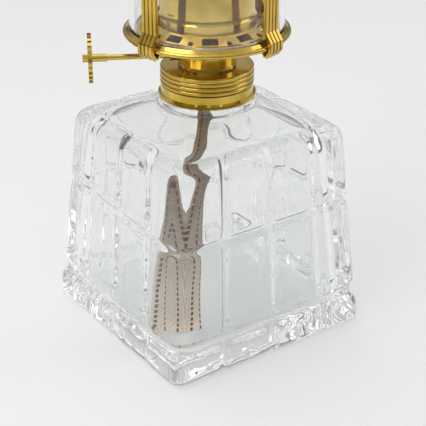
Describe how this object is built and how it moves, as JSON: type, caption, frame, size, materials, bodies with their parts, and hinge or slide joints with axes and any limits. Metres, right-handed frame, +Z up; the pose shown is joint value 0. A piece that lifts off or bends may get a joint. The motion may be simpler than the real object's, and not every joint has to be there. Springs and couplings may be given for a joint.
{
  "type": "oil lamp",
  "caption": "Square tapering pressed-glass oil lamp with a screw-on brass flat-wick burner, wick winder, four sprung chimney prongs and a bulged glass chimney.",
  "frame": {"origin": "on the lamp's axis at the underside of the font, where it stands on the table", "axes": "+Z up; the font's four faces look along X and Y; the winder's knob points to 151.5 degrees, between -X and +Y"},
  "size_m": [0.1, 0.1, 0.3052],
  "materials": {
    "font_glass": "clear pressed glass, fire polished",
    "chimney_clear": "clear blown glass",
    "polished_brass": "polished, lightly lacquered",
    "cement": "set plaster, matt",
    "wick_cotton": "flat woven cotton with dark red tracer threads"
  },
  "bodies": {
    "font": {"glass_font": "font_glass", "cement_ring": "cement", "neck_collar": "polished_brass"},
    "tail": {"wick_tail": "wick_cotton"},
    "burner": {"burner_base": "polished_brass", "burner_throat": "polished_brass", "air_bowl": "polished_brass", "gallery_plate": "polished_brass", "air_cone": "polished_brass", "tube_plate": "polished_brass", "wick_tube": "polished_brass", "prong_1": "polished_brass", "prong_2": "polished_brass", "prong_3": "polished_brass", "prong_4": "polished_brass", "shaft_bush": "polished_brass"},
    "winder": {"winder_shaft": "polished_brass", "sprocket_1": "polished_brass", "sprocket_2": "polished_brass", "sprocket_3": "polished_brass", "knob_sleeve": "polished_brass", "knob_wheel": "polished_brass"},
    "wick": {"wick": "wick_cotton"},
    "dome": {"dome": "polished_brass"},
    "chimney": {"chimney_glass": "chimney_clear"}
  },
  "joints": [
    {"name": "burner_rise", "type": "slide", "parent": "font", "child": "tail", "axis": [0, 0, 1], "range_m": [0, 0.00585]},
    {"name": "burner_turn", "type": "hinge", "parent": "tail", "child": "burner", "pos_m": [0, 0, 0.1148], "axis": [0, 0, 1], "range_deg": [0, 1080]},
    {"name": "knob_turn", "type": "hinge", "parent": "burner", "child": "winder", "pos_m": [-0.00193, -0.00356, 0.1218], "axis": [0.8788, -0.4772, 0], "range_deg": [0, 245]},
    {"name": "wick_slide", "type": "slide", "parent": "burner", "child": "wick", "axis": [0, 0, 1], "range_m": [0, 0.012]},
    {"name": "dome_lift", "type": "slide", "parent": "burner", "child": "dome", "axis": [0, 0, 1], "range_m": [0, 0.03]},
    {"name": "chimney_lift", "type": "slide", "parent": "burner", "child": "chimney", "axis": [0, 0, 1], "range_m": [0, 0.045]}
  ],
  "couplings": [
    {"joint": "burner_rise", "follows": "burner_turn", "m_per_rad": 0.00031035},
    {"joint": "wick_slide", "follows": "knob_turn", "m_per_rad": 0.0028}
  ]
}
